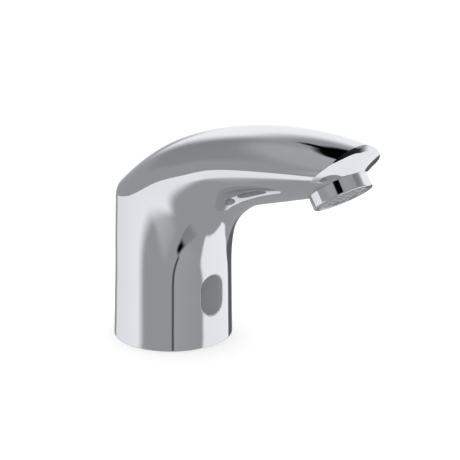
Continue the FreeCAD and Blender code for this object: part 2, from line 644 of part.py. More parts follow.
FLANGE_TOP = COVER_TOP + 1.0
YOKE_T = 1.2
COIL_LOW = FLANGE_TOP + YOKE_T
COIL_TOP = 43.8
YOKE_TOP = COIL_TOP + YOKE_T
core_tube = ring(VALVE_R, CORE_BORE, COVER_TOP, FLANGE_TOP, VALVE_X).cut(tower_room)
core_tube = core_tube.fuse(ring(CORE_R, CORE_BORE, FLANGE_TOP, YOKE_TOP, VALVE_X))
core_tube = drill(core_tube, [cyl(SCREW_R + 0.2, COVER_TOP, FLANGE_TOP, x, y) for x, y in cover_places])
save("core_tube", core_tube.removeSplitter())


def turned(shape, z):
    """The same screw the other way up, its seat at z."""
    shape.rotate(V(0, 0, 0), V(1, 0, 0), 180)
    shape.translate(V(0, 0, z))
    return shape


top_screws = [turned(screw(x, -y, 0.0, 8.0), FLANGE_TOP) for x, y in cover_places]
save("cover_screws", Part.makeCompound(top_screws))

TIP_R = 2.2
TIP_T = 1.6
SPRING_ROOM_R = 2.3
SPRING_MID_R = 1.75
SPRING_TURNS = 5.0
PLUNGER_LOW, PLUNGER_TOP = 26.1, 38.6
SPRING_SEAT = 33.6
POLE_LOW = 40.5
WIRE_R = 0.25
NUT_R = CORE_R + 0.6
NUT_H = 2.6
NOSE_STUD_R = 2.5        # threaded end of the fixed core
plunger = cyl(CORE_BORE - 0.06, PLUNGER_LOW, PLUNGER_TOP, VALVE_X)
plunger = drill(plunger, [cyl(TIP_R + FIT, PLUNGER_LOW, NOZZLE_TOP + TIP_T, VALVE_X),
                          cyl(SPRING_ROOM_R, SPRING_SEAT, PLUNGER_TOP, VALVE_X)])
save("plunger", plunger)
save("plunger_tip", cyl(TIP_R, NOZZLE_TOP, NOZZLE_TOP + TIP_T, VALVE_X))
spring_len = POLE_LOW - SPRING_SEAT
helix_len = spring_len - 2 * WIRE_R
helix = Part.makeHelix(helix_len / SPRING_TURNS, helix_len, SPRING_MID_R)
section_at = Part.Wire(Part.makeCircle(WIRE_R, V(SPRING_MID_R, 0, 0), V(0, 1, 0.2)))
spring = Part.Wire(helix).makePipeShell([section_at], True, True)
spring.translate(V(VALVE_X, 0, SPRING_SEAT + WIRE_R))
save("plunger_spring", spring)
pole = cyl(CORE_BORE - FIT, POLE_LOW, YOKE_TOP, VALVE_X)
pole = pole.fuse(cyl(NOSE_STUD_R, YOKE_TOP, YOKE_TOP + NUT_H + 0.6, VALVE_X))
save("fixed_core", pole.removeSplitter())

BOBBIN_R = VALVE_R - 5.2
BOBBIN_FLANGE = 1.2
HUB_R = CORE_R + 0.9
bobbin = ring(HUB_R, CORE_R + 0.05, COIL_LOW, COIL_TOP, VALVE_X)
bobbin = bobbin.fuse(ring(BOBBIN_R, CORE_R + 0.05, COIL_LOW, COIL_LOW + BOBBIN_FLANGE, VALVE_X))
bobbin = bobbin.fuse(ring(BOBBIN_R, CORE_R + 0.05, COIL_TOP - BOBBIN_FLANGE, COIL_TOP, VALVE_X))
LUG_X = VALVE_X + BOBBIN_R + 1.5         # lug that carries the lead, in front of the coil
LUG_Y0, LUG_Y1 = 1.5, COVER_SCREW_AT - SCREW_HEAD_R - 0.5
LEAD_Y = (LUG_Y0 + LUG_Y1) / 2.0
bobbin = bobbin.fuse(block(LUG_X - 4.0, LUG_X, LUG_Y0, LUG_Y1, COIL_LOW, COIL_LOW + BOBBIN_FLANGE))
bobbin = bobbin.fuse(block(LUG_X - 1.8, LUG_X, LUG_Y0, LUG_Y1, COIL_LOW, COIL_LOW + 3.3)).removeSplitter()
save("coil_bobbin", bobbin)
winding = ring(BOBBIN_R - 0.5, HUB_R, COIL_LOW + BOBBIN_FLANGE, COIL_TOP - BOBBIN_FLANGE, VALVE_X)
save("coil_winding", winding)

YOKE_X = COVER_SCREW_AT - SCREW_HEAD_R - 0.3
YOKE_Y = BOBBIN_R + 1.4
yoke = block(VALVE_X - YOKE_X, VALVE_X + YOKE_X, -YOKE_Y, YOKE_Y, FLANGE_TOP, YOKE_TOP)
coil_y = YOKE_Y - YOKE_T
yoke = yoke.cut(block(VALVE_X - YOKE_X, VALVE_X + YOKE_X, -coil_y, coil_y, COIL_LOW, COIL_TOP))
yoke = yoke.cut(cyl(CORE_R + 0.05, FLANGE_TOP, YOKE_TOP, VALVE_X))
save("coil_yoke", yoke)
nut = hexagon(NUT_R, YOKE_TOP, NUT_H, VALVE_X)
save("coil_nut", nut.cut(cyl(NOSE_STUD_R + FIT, YOKE_TOP, YOKE_TOP + NUT_H, VALVE_X)))

# ---- battery ----
TRAY_LOW = 49.0
TRAY_T = 1.2
TRAY_FLOOR = TRAY_LOW + TRAY_T
TRAY_X0 = TUBE_X + TUBE_R + 1.5
TRAY_H = 12.0
CONTACT_T = 0.5
CONTACT_LOW = TRAY_LOW + 4.0
BUTTON_R = 2.5
CELL_BATTERY_R = 0.28 * FOOT_R
TRAY_X1 = TRAY_X0 + 2 * TRAY_T + 4 * CELL_BATTERY_R
TRAY_Y = VALVE_R + 0.9
CELL_LONG = 2 * (TRAY_Y - TRAY_T - CONTACT_T)
LEG_T = 1.8
cell_z = TRAY_FLOOR + CELL_BATTERY_R
cells = []
for k in (1, 3):
    x = TRAY_X0 + TRAY_T + k * CELL_BATTERY_R
    cell = along(CELL_BATTERY_R, V(x, -CELL_LONG / 2, cell_z), V(0, 1, 0), CELL_LONG - 0.6)
    button = along(BUTTON_R, V(x, -CELL_LONG / 2, cell_z), V(0, 1, 0), CELL_LONG)
    cells.append(cell.fuse(button).removeSplitter())
save("battery_cells", Part.makeCompound(cells))
tray = block(TRAY_X0, TRAY_X1, -TRAY_Y, TRAY_Y, TRAY_LOW, TRAY_LOW + TRAY_H)
inside_y = TRAY_Y - TRAY_T
tray = tray.cut(block(TRAY_X0 + TRAY_T, TRAY_X1 - TRAY_T, -inside_y, inside_y, TRAY_FLOOR, TRAY_LOW + TRAY_H))
for side in (-1, 1):
    ys = sorted((side * TRAY_Y, side * (TRAY_Y + LEG_T)))
    tray = tray.fuse(block(VALVE_X - 4.0, VALVE_X + 6.0, ys[0], ys[1], PLATE_TOP, TRAY_LOW + TRAY_H))
save("battery_tray", tray.removeSplitter())
contact_top = TRAY_LOW + TRAY_H - 1.0
first_x, last_x = TRAY_X0 + 3.5, TRAY_X1 - 3.6
spans = ((first_x, last_x, inside_y - CONTACT_T),
         (first_x, first_x + 10.5, -inside_y), (last_x - 10.5, last_x, -inside_y))
contacts = [block(x0, x1, y, y + CONTACT_T, CONTACT_LOW, contact_top) for x0, x1, y in spans]
save("battery_contacts", Part.makeCompound(contacts))

# ---- leads ----
LEAD_R = 0.8
LEAD_LOW, LEAD_HIGH = COIL_LOW + 1.4, HOUSING_TOP - 1.8
middle_x = (LUG_X + BOARD_BACK) / 2.0
lead_points = [V(LUG_X, LEAD_Y, LEAD_LOW), V(middle_x, LEAD_Y, LEAD_LOW),
               V(middle_x, LEAD_Y, LEAD_HIGH), V(BOARD_BACK, LEAD_Y, LEAD_HIGH)]
coil_lead = rod(lead_points, 1.6, LEAD_R)
save("coil_lead", coil_lead)
lead_x = (BOARD_BACK + BOARD_FRONT) / 2.0
battery_lead = rod([V(lead_x, -5.0, TRAY_LOW), V(lead_x, -5.0, TRAY_LOW - 3.8),
                    V(lead_x, 0.0, HOUSING_TOP + 4.0), V(lead_x, 0.0, HOUSING_TOP)], 3.0, LEAD_R)
save("battery_lead", battery_lead)
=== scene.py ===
import bpy
import math
import numpy as np
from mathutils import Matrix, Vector


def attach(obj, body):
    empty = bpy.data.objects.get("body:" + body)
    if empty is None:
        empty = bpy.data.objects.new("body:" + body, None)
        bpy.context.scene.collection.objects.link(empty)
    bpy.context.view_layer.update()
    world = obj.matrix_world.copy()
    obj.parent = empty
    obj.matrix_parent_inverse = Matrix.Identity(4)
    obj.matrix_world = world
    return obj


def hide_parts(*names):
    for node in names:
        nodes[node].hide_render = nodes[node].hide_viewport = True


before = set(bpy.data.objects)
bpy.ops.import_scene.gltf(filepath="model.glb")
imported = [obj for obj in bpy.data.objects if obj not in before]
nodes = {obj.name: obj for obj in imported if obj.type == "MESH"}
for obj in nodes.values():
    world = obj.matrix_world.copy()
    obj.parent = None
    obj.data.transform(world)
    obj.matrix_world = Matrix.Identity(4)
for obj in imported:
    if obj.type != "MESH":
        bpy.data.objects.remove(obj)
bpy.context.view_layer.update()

# ---------------------------------------------------------------- view and studio

VIEW_POINT = Vector((0.3960, -0.3370, 0.1960))
LINE_OF_SIGHT = Vector((-0.6998, 0.6612, -0.2714))
LENS_MM = 90.7
SENSOR_MM = 36.0
SIGHT_AZIMUTH = math.degrees(math.atan2(VIEW_POINT.y, VIEW_POINT.x))
# the cards: distance of the nearest and step to the next in metres, mesh size in degrees
NEAREST_CARD = 6.0
LAYER_STEP = 0.3
CARD_GRID = 1.5
CHROME_TINT = (0.80, 0.81, 0.83)
COOL_LIGHT = (0.985, 0.995, 1.02)
FLOOR_REACH = 12.0
FLOOR_LIFT = 0.35


def make_camera():
    data = bpy.data.cameras.new("product_camera")
    data.lens = LENS_MM
    data.sensor_width = SENSOR_MM
    data.clip_start = 0.01
    data.clip_end = 50.0
    camera = bpy.data.objects.new("product_camera", data)
    camera.location = VIEW_POINT
    camera.rotation_mode = "QUATERNION"
    camera.rotation_quaternion = LINE_OF_SIGHT.to_track_quat("-Z", "Y")
    bpy.context.scene.collection.objects.link(camera)
    bpy.context.scene.camera = camera


def new_object(name, vertices, faces, material):
    mesh = bpy.data.meshes.new(name)
    mesh.from_pydata(vertices, [], faces)
    mesh.materials.append(material)
    piece = bpy.data.objects.new(name, mesh)
    bpy.context.scene.collection.objects.link(piece)
    return piece


def empty_material(name):
    material = bpy.data.materials.new(name)
    material.use_nodes = True
    tree = material.node_tree
    tree.nodes.clear()
    return material, tree


def card_material():
    """Even soft light; its tone and its soft border are kept in the mesh of the card."""
    material, tree = empty_material("studio_card")
    output = tree.nodes.new("ShaderNodeOutputMaterial")
    glow = tree.nodes.new("ShaderNodeEmission")
    clear = tree.nodes.new("ShaderNodeBsdfTransparent")
    pick = tree.nodes.new("ShaderNodeMixShader")
    tone = tree.nodes.new("ShaderNodeVertexColor")
    tone.layer_name = "tone"
    tree.links.new(tone.outputs["Color"], glow.inputs["Color"])
    tree.links.new(tone.outputs["Alpha"], pick.inputs["Fac"])
    tree.links.new(clear.outputs[0], pick.inputs[1])
    tree.links.new(glow.outputs[0], pick.inputs[2])
    tree.links.new(pick.outputs[0], output.inputs["Surface"])
    return material


def card_light(grey):
    """Light of a card that looks this grey in the chrome."""
    linear = grey / 12.92 if grey < 0.04 else ((grey + 0.055) / 1.055) ** 2.4
    return linear / CHROME_TINT[1]


def soft_border(place, limits, fades):
    """1 inside the limits, falling smoothly to 0 over the fade at each end."""
    value = 1.0
    for gap, fade in ((place - limits[0], fades[0]), (limits[1] - place, fades[1])):
        part = min(max(gap / fade, 0.0), 1.0) if fade > 0.0 else 1.0
        value *= part * part * (3.0 - 2.0 * part)
    return value


def between(corners, part, rise):
    """The place on a card, as turn and height, from its four corners."""
    low = [corners[0][axis] * (1.0 - part) + corners[1][axis] * part for axis in range(2)]
    high = [corners[2][axis] * (1.0 - part) + corners[3][axis] * part for axis in range(2)]
    return [low[axis] * (1.0 - rise) + high[axis] * rise for axis in range(2)]


def make_card(material, name, layer, corners, greys, fades):
    """A card bent round the tap. Corners are turn and height in degrees, turn counted to the right
    of the line of sight: low left, low right, high left, high right. Greys: left and right.
    Fades in degrees: left, right, low, high."""
    wide = (corners[1][0] - corners[0][0] + corners[3][0] - corners[2][0]) / 2.0
    tall = (corners[2][1] - corners[0][1] + corners[3][1] - corners[1][1]) / 2.0
    across = max(4, round(wide / CARD_GRID))
    upward = max(4, round(tall / CARD_GRID))
    distance = NEAREST_CARD + LAYER_STEP * layer
    vertices = []
    shades = []
    for row in range(upward + 1):
        rise = row / upward
        for column in range(across + 1):
            part = column / across
            turn, height = between(corners, part, rise)
            way = math.radians(SIGHT_AZIMUTH + turn)
            level = distance * math.cos(math.radians(height))
            vertices.append((level * math.cos(way), level * math.sin(way),
                             distance * math.sin(math.radians(height))))
            grey = card_light(greys[0] + (greys[1] - greys[0]) * part)
            fade = soft_border(part * wide, (0.0, wide), fades[:2])
            fade *= soft_border(rise * tall, (0.0, tall), fades[2:])
            shades.append([grey * tint for tint in COOL_LIGHT] + [fade])
    faces = []
    for row in range(upward):
        for column in range(across):
            corner = row * (across + 1) + column
            faces.append((corner, corner + 1, corner + across + 2, corner + across + 1))
    card = new_object(name, vertices, faces, material)
    layer_of_tones = card.data.color_attributes.new("tone", "FLOAT_COLOR", "POINT")
    for place, shade in zip(layer_of_tones.data, shades):
        place.color = shade
    card.visible_camera = False
    card.visible_diffuse = False
    card.visible_shadow = False


# name, layer (0 is nearest), corners, greys left and right, fades left, right, low, high
CARDS = (
    ("grey_surround", 9, ((-180, -90), (180, -90), (-180, 90), (180, 90)), (0.57, 0.57), (0, 0, 0, 0)),
    ("softbox_behind", 5, ((163, -14), (206, -14), (163, 47), (212, 47)), (0.90, 0.92), (3, 16, 1, 18)),
    ("softbox_right", 6, ((92, -14), (170, -14), (92, 42), (170, 42)), (0.90, 0.92), (12, 3, 0, 10)),
    ("flag_behind", 4, ((-180, 0), (-140, 0), (-178, 15), (-142, 15)), (0.66, 0.56), (10, 10, 5, 6)),
    ("dim_left", 8, ((-165, 14), (-95, 14), (-165, 46), (-95, 46)), (0.50, 0.54), (20, 20, 10, 10)),
    ("light_left", 8, ((-150, 38), (-80, 38), (-150, 64), (-80, 64)), (0.63, 0.61), (16, 10, 10, 0)),
    ("black_top", 7, ((-200, 45), (-126, 60.5), (-200, 75), (-126, 78)), (0.0, 0.0), (4, 5, 2.5, 3)),
    ("black_notch", 4, ((-163, 48), (-157, 48), (-169, 60), (-151, 61)), (0.0, 0.0), (3, 3, 4, 1)),
    ("softbox_left", 5, ((-150, -56), (-44, -46), (-150, -11.4), (-60, -11.8)), (0.84, 0.91),
     (6, 20, 12, 1.6)),
    ("glow_left", 6, ((-96, -47), (-16, -40), (-74, -20), (-12, -20)), (0.74, 0.58), (2, 18, 12, 4)),
    ("flag_front", 3, ((-16, -41), (2, -42), (-12, -31), (-3, -30)), (0.0, 0.0), (4, 4, 4, 2)),
    ("seam_front", 3, ((-4, -32), (1, -32), (-5, -14), (1, -14)), (0.20, 0.26), (2, 2, 2, 1)),
    ("tent_front", 6, ((-36, -62), (14, -62), (-12, -32), (-2, -32)), (0.49, 0.51), (3, 3, 10, 1)),
    ("black_front", 3, ((-31, 19), (-5, 30), (-31, 30), (-2, 48)), (0.0, 0.0), (4, 4, 3, 3)),
    ("black_side", 4, ((44, -13.8), (96, -13.8), (44, -8), (96, -8)), (0.0, 0.20), (3, 10, 0.5, 2)),
    ("card_front_left", 8, ((-80, 2), (-28, 2), (-80, 34), (-28, 34)), (0.62, 0.60), (8, 6, 6, 6)),
    ("card_front_right", 8, ((2, 34), (66, 34), (2, 56), (66, 56)), (0.60, 0.57), (4, 8, 4, 4)),
    ("dim_right", 8, ((58, 32), (94, 32), (58, 46), (94, 46)), (0.49, 0.49), (4, 6, 4, 4)),
    ("card_low_right", 7, ((-2, -46), (60, -50), (-2, -14), (60, -14)), (0.60, 0.57), (4, 8, 8, 0)),
    ("softbox_low_right", 5, ((38, -68), (134, -72), (57, -14), (138, -14)), (0.89, 0.91), (9, 4, 6, 1)),
    ("flag_right", 4, ((136, -31), (167, -31), (134, -14), (168, -14)), (0.34, 0.34), (3, 4, 5, 0)),
)


def make_floor():
    """Pale matt floor that takes the shadow; what the camera sees of it is lifted towards white."""
    material, tree = empty_material("pale_floor")
    output = tree.nodes.new("ShaderNodeOutputMaterial")
    matte = tree.nodes.new("ShaderNodeBsdfDiffuse")
    matte.inputs["Color"].default_value = (0.86, 0.86, 0.86, 1.0)
    lift = tree.nodes.new("ShaderNodeEmission")
    lift.inputs["Strength"].default_value = FLOOR_LIFT
    path = tree.nodes.new("ShaderNodeLightPath")
    seen = tree.nodes.new("ShaderNodeMath")
    seen.operation = "MAXIMUM"
    both = tree.nodes.new("ShaderNodeMath")
    both.operation = "MAXIMUM"
    none = tree.nodes.new("ShaderNodeBsdfTransparent")
    none.inputs["Color"].default_value = (0.0, 0.0, 0.0, 1.0)
    pick = tree.nodes.new("ShaderNodeMixShader")
    total = tree.nodes.new("ShaderNodeAddShader")
    tree.links.new(path.outputs["Is Camera Ray"], seen.inputs[0])
    tree.links.new(path.outputs["Is Glossy Ray"], seen.inputs[1])
    tree.links.new(seen.outputs[0], both.inputs[0])
    tree.links.new(path.outputs["Is Transmission Ray"], both.inputs[1])
    tree.links.new(both.outputs[0], pick.inputs["Fac"])
    tree.links.new(none.outputs[0], pick.inputs[1])
    tree.links.new(lift.outputs[0], pick.inputs[2])
    tree.links.new(matte.outputs[0], total.inputs[0])
    tree.links.new(pick.outputs[0], total.inputs[1])
    tree.links.new(total.outputs[0], output.inputs["Surface"])
    corners = [(x * FLOOR_REACH, y * FLOOR_REACH, 0) for x, y in ((-1, -1), (1, -1), (1, 1), (-1, 1))]
    floor = new_object("floor", corners, [(0, 1, 2, 3)], material)
    floor.visible_glossy = False    # the cards below it stand in the chrome instead


def make_world():
    """Even white light from all sides."""
    world = bpy.data.worlds.new("studio")
    bpy.context.scene.world = world
    world.use_nodes = True
    tree = world.node_tree
    tree.nodes.clear()
    output = tree.nodes.new("ShaderNodeOutputWorld")
    back = tree.nodes.new("ShaderNodeBackground")
    back.inputs["Color"].default_value = (1.0, 1.0, 1.0, 1.0)
    back.inputs["Strength"].default_value = 1.0
    tree.links.new(back.outputs[0], output.inputs["Surface"])


# ---------------------------------------------------------------- effects shared by the finishes

def new_effect(name, numbers, results):
    """Empty node group: numbers are its named inputs and their defaults, results its outputs."""
    group = bpy.data.node_groups.new(name, "ShaderNodeTree")
    for label, value in numbers.items():
        kind = "NodeSocketColor" if isinstance(value, tuple) else "NodeSocketFloat"
        socket = group.interface.new_socket(name=label, in_out="INPUT", socket_type=kind)
        socket.default_value = value
    for label, kind in results.items():
        group.interface.new_socket(name=label, in_out="OUTPUT", socket_type=kind)
    entry = group.nodes.new("NodeGroupInput")
    leave = group.nodes.new("NodeGroupOutput")
    return group, entry, leave


def add_node(tree, kind, **settings):
    node = tree.nodes.new(kind)
    for label, value in settings.items():
        setattr(node, label, value)
    return node


def surface_point(tree, stretch=(1.0, 1.0, 1.0)):
    """Point on the piece in metres, each axis multiplied by its stretch."""
    place = add_node(tree, "ShaderNodeTexCoord")
    scaled = add_node(tree, "ShaderNodeMapping")
    scaled.inputs["Scale"].default_value = stretch
    tree.links.new(place.outputs["Object"], scaled.inputs["Vector"])
    return scaled.outputs["Vector"]


def noise_on(tree, point, scale, detail):
    """Noise node at the point; scale is a number or a socket."""
    noise = add_node(tree, "ShaderNodeTexNoise")
    noise.inputs["Detail"].default_value = detail
    tree.links.new(point, noise.inputs["Vector"])
    if isinstance(scale, float):
        noise.inputs["Scale"].default_value = scale
    else:
        tree.links.new(scale, noise.inputs["Scale"])
    return noise.outputs["Fac"]


def spread(tree, value, source, target):
    """Map a value from the source range to the target range, clamped."""
    node = add_node(tree, "ShaderNodeMapRange")
    for label, number in zip(("From Min", "From Max", "To Min", "To Max"), source + target):
        if isinstance(number, (int, float)):
            node.inputs[label].default_value = number
        else:
            tree.links.new(number, node.inputs[label])
    tree.links.new(value, node.inputs["Value"])
    return node.outputs["Result"]


def make_colour_drift():
    """Two close colours mixed in soft clouds."""
    group, entry, leave = new_effect(
        "colour_drift", {"First": (1.0, 1.0, 1.0, 1.0), "Second": (1.0, 1.0, 1.0, 1.0), "Scale": 60.0},
        {"Colour": "NodeSocketColor"})
    cloud = noise_on(group, surface_point(group), entry.outputs["Scale"], 4.0)
    mask = spread(group, cloud, (0.35, 0.65), (0.0, 1.0))
    mix = add_node(group, "ShaderNodeMix", data_type="RGBA")
    group.links.new(mask, mix.inputs["Factor"])
    group.links.new(entry.outputs["First"], mix.inputs[6])
    group.links.new(entry.outputs["Second"], mix.inputs[7])
    group.links.new(mix.outputs[2], leave.inputs["Colour"])
    return group


def make_handling_wear():
    """Roughness that rises in smudges and in fine scratches."""
    group, entry, leave = new_effect(
        "handling_wear", {"Clean": 0.3, "Worn": 0.5, "Smudge Scale": 40.0, "Scratch Scale": 900.0},
        {"Roughness": "NodeSocketFloat"})
    smudge = noise_on(group, surface_point(group), entry.outputs["Smudge Scale"], 3.0)
    scratch = noise_on(group, surface_point(group, (1.0, 0.6, 0.04)), entry.outputs["Scratch Scale"], 2.0)
    smudge = spread(group, smudge, (0.45, 0.75), (0.0, 0.7))
    scratch = spread(group, scratch, (0.62, 0.78), (0.0, 0.6))
    total = add_node(group, "ShaderNodeMath", operation="ADD")
    group.links.new(smudge, total.inputs[0])
    group.links.new(scratch, total.inputs[1])
    rough = spread(group, total.outputs[0], (0.0, 1.0), (entry.outputs["Clean"], entry.outputs["Worn"]))
    group.links.new(rough, leave.inputs["Roughness"])
    return group


def make_grain():
    """Fine height of a moulded, cast or rubber skin, with a slower wave below it."""
    group, entry, leave = new_effect(
        "skin_grain", {"Scale": 2500.0, "Wave": 0.3}, {"Height": "NodeSocketFloat"})
    fine = noise_on(group, surface_point(group), entry.outputs["Scale"], 3.0)
    slow = noise_on(group, surface_point(group), 160.0, 2.0)
    weighed = add_node(group, "ShaderNodeMath", operation="MULTIPLY_ADD")
    group.links.new(slow, weighed.inputs[0])
    group.links.new(entry.outputs["Wave"], weighed.inputs[1])
    group.links.new(fine, weighed.inputs[2])
    group.links.new(weighed.outputs[0], leave.inputs["Height"])
    return group


def make_turned_lines():
    """Fine lines round the upright axis of the tap, left by a lathe or a polishing wheel."""
    group, entry, leave = new_effect(
        "turned_lines", {"Scale": 3000.0}, {"Height": "NodeSocketFloat"})
    lines = noise_on(group, surface_point(group, (0.02, 0.02, 1.0)), entry.outputs["Scale"], 2.0)
    group.links.new(lines, leave.inputs["Height"])
    return group


def make_water_spots():
    """Dried drops: a mask of small soft rings, few and faint."""
    group, entry, leave = new_effect(
        "water_spots", {"Scale": 140.0, "Amount": 0.3}, {"Mask": "NodeSocketFloat"})
    cells = add_node(group, "ShaderNodeTexVoronoi")
    group.links.new(surface_point(group), cells.inputs["Vector"])
    group.links.new(entry.outputs["Scale"], cells.inputs["Scale"])
    inner = spread(group, cells.outputs["Distance"], (0.10, 0.16), (0.0, 1.0))
    outer = spread(group, cells.outputs["Distance"], (0.18, 0.28), (1.0, 0.0))
    ring = add_node(group, "ShaderNodeMath", operation="MULTIPLY")
    group.links.new(inner, ring.inputs[0])
    group.links.new(outer, ring.inputs[1])
    few = spread(group, noise_on(group, surface_point(group), 55.0, 1.0), (0.55, 0.7), (0.0, 1.0))
    chosen = add_node(group, "ShaderNodeMath", operation="MULTIPLY")
    group.links.new(ring.outputs[0], chosen.inputs[0])
    group.links.new(few, chosen.inputs[1])
    faint = add_node(group, "ShaderNodeMath", operation="MULTIPLY")
    group.links.new(chosen.outputs[0], faint.inputs[0])
    group.links.new(entry.outputs["Amount"], faint.inputs[1])
    group.links.new(faint.outputs[0], leave.inputs["Mask"])
    return group


COLOUR_DRIFT = make_colour_drift()
HANDLING_WEAR = make_handling_wear()
SKIN_GRAIN = make_grain()
TURNED_LINES = make_turned_lines()
WATER_SPOTS = make_water_spots()


def place_effect(tree, group, **numbers):
    """Put an effect in a material and set its named inputs."""
    node = add_node(tree, "ShaderNodeGroup", node_tree=group)
    for label, value in numbers.items():
        node.inputs[label.replace("_", " ")].default_value = value
    return node


def add_bump(tree, shader, height, strength, depth):
    bump = add_node(tree, "ShaderNodeBump")
    bump.inputs["Strength"].default_value = strength
    bump.inputs["Distance"].default_value = depth
    tree.links.new(height, bump.inputs["Height"])
    tree.links.new(bump.outputs["Normal"], shader.inputs["Normal"])


def start_finish(name, colour, drift, metallic, drift_scale=60.0):
    """Material with its shader and its two close colours."""
    material, tree = empty_material(name)
    output = add_node(tree, "ShaderNodeOutputMaterial")
    shader = add_node(tree, "ShaderNodeBsdfPrincipled")
    shader.inputs["Metallic"].default_value = metallic
    second = [min(max(value * (1.0 + drift), 0.0), 1.0) for value in colour]
    mix = place_effect(tree, COLOUR_DRIFT, First=(*colour, 1.0), Second=(*second, 1.0), Scale=drift_scale)
    tree.links.new(mix.outputs["Colour"], shader.inputs["Base Color"])
    tree.links.new(shader.outputs[0], output.inputs["Surface"])
    return material, tree, shader


def make_finish(name, colour, drift, metallic, rough, grain, depth, turned=False, coat=0.0):
    """The usual finish of a piece: drifting colour, worn roughness and a fine skin."""
    material, tree, shader = start_finish(name, colour, drift, metallic)
    wear = place_effect(tree, HANDLING_WEAR, Clean=rough[0], Worn=rough[1])
    tree.links.new(wear.outputs["Roughness"], shader.inputs["Roughness"])
    if turned:
        skin = place_effect(tree, TURNED_LINES, Scale=grain)
    else:
        skin = place_effect(tree, SKIN_GRAIN, Scale=grain)
    add_bump(tree, shader, skin.outputs["Height"], 0.5, depth)
    shader.inputs["Coat Weight"].default_value = coat
    return material


def make_chrome():
    """Polished chrome: near mirror, faint hairlines and a few dried drops."""
    material, tree, shader = start_finish("polished_chrome", CHROME_TINT, -0.015, 1.0)
    wear = place_effect(tree, HANDLING_WEAR, Clean=0.03, Worn=0.065, Smudge_Scale=25.0, Scratch_Scale=1500.0)
    spots = place_effect(tree, WATER_SPOTS, Scale=150.0, Amount=0.04)
    total = add_node(tree, "ShaderNodeMath", operation="ADD")
    tree.links.new(wear.outputs["Roughness"], total.inputs[0])
    tree.links.new(spots.outputs["Mask"], total.inputs[1])
    tree.links.new(total.outputs[0], shader.inputs["Roughness"])
    lines = place_effect(tree, SKIN_GRAIN, Scale=1200.0)
    add_bump(tree, shader, lines.outputs["Height"], 0.1, 0.000002)
    return material


def make_window():
    """Infrared filter plastic: smoky grey with a polished face."""
    material, tree, shader = start_finish("infrared_window", (0.20, 0.205, 0.215), -0.06, 0.0)
    wear = place_effect(tree, HANDLING_WEAR, Clean=0.12, Worn=0.2)
    tree.links.new(wear.outputs["Roughness"], shader.inputs["Roughness"])
    skin = place_effect(tree, SKIN_GRAIN, Scale=1500.0)
    add_bump(tree, shader, skin.outputs["Height"], 0.15, 0.000004)
    return material


def make_winding():
    """Enamelled copper wire, its turns in the height."""
    material, tree, shader = start_finish("enamelled_copper", (0.60, 0.24, 0.10), -0.25, 1.0, 300.0)
    wear = place_effect(tree, HANDLING_WEAR, Clean=0.22, Worn=0.4)
    tree.links.new(wear.outputs["Roughness"], shader.inputs["Roughness"])
    turns = add_node(tree, "ShaderNodeTexWave", wave_type="BANDS", bands_direction="Z", wave_profile="SIN")
    turns.inputs["Scale"].default_value = 800.0
    turns.inputs["Distortion"].default_value = 0.4
    tree.links.new(surface_point(tree), turns.inputs["Vector"])
    add_bump(tree, shader, turns.outputs["Fac"], 0.8, 0.00015)
    return material


def make_board():
    """Green solder mask over copper tracks."""
    material, tree, shader = start_finish("solder_mask", (0.03, 0.20, 0.08), 0.25, 0.0, 200.0)
    wear = place_effect(tree, HANDLING_WEAR, Clean=0.25, Worn=0.4)
    tree.links.new(wear.outputs["Roughness"], shader.inputs["Roughness"])
    tracks = add_node(tree, "ShaderNodeTexBrick")
    tracks.inputs["Scale"].default_value = 260.0
    tracks.inputs["Mortar Size"].default_value = 0.035
    tracks.inputs["Color1"].default_value = (0.2, 0.2, 0.2, 1.0)
    tracks.inputs["Color2"].default_value = (0.3, 0.3, 0.3, 1.0)
    tracks.inputs["Mortar"].default_value = (1.0, 1.0, 1.0, 1.0)
    turned = add_node(tree, "ShaderNodeMapping")
    turned.inputs["Rotation"].default_value = (0.0, math.radians(90.0), 0.0)
    tree.links.new(surface_point(tree), turned.inputs["Vector"])
    tree.links.new(turned.outputs["Vector"], tracks.inputs["Vector"])
    add_bump(tree, shader, tracks.outputs["Color"], 0.5, 0.00004)
    return material


def make_fine_mesh():
    """Woven stainless mesh: crossing wires in the height."""
    material, tree, shader = start_finish("woven_steel_mesh", (0.56, 0.57, 0.58), -0.2, 1.0, 400.0)
    wear = place_effect(tree, HANDLING_WEAR, Clean=0.3, Worn=0.45)
    tree.links.new(wear.outputs["Roughness"], shader.inputs["Roughness"])
    heights = []
    for direction in ("X", "Y"):
        wires = add_node(tree, "ShaderNodeTexWave", wave_type="BANDS", bands_direction=direction)
        wires.inputs["Scale"].default_value = 500.0
        tree.links.new(surface_point(tree), wires.inputs["Vector"])
        heights.append(wires.outputs["Fac"])
    crossed = add_node(tree, "ShaderNodeMath", operation="MAXIMUM")
    for number, height in enumerate(heights):
        tree.links.new(height, crossed.inputs[number])
    add_bump(tree, shader, crossed.outputs[0], 0.8, 0.0001)
    return material


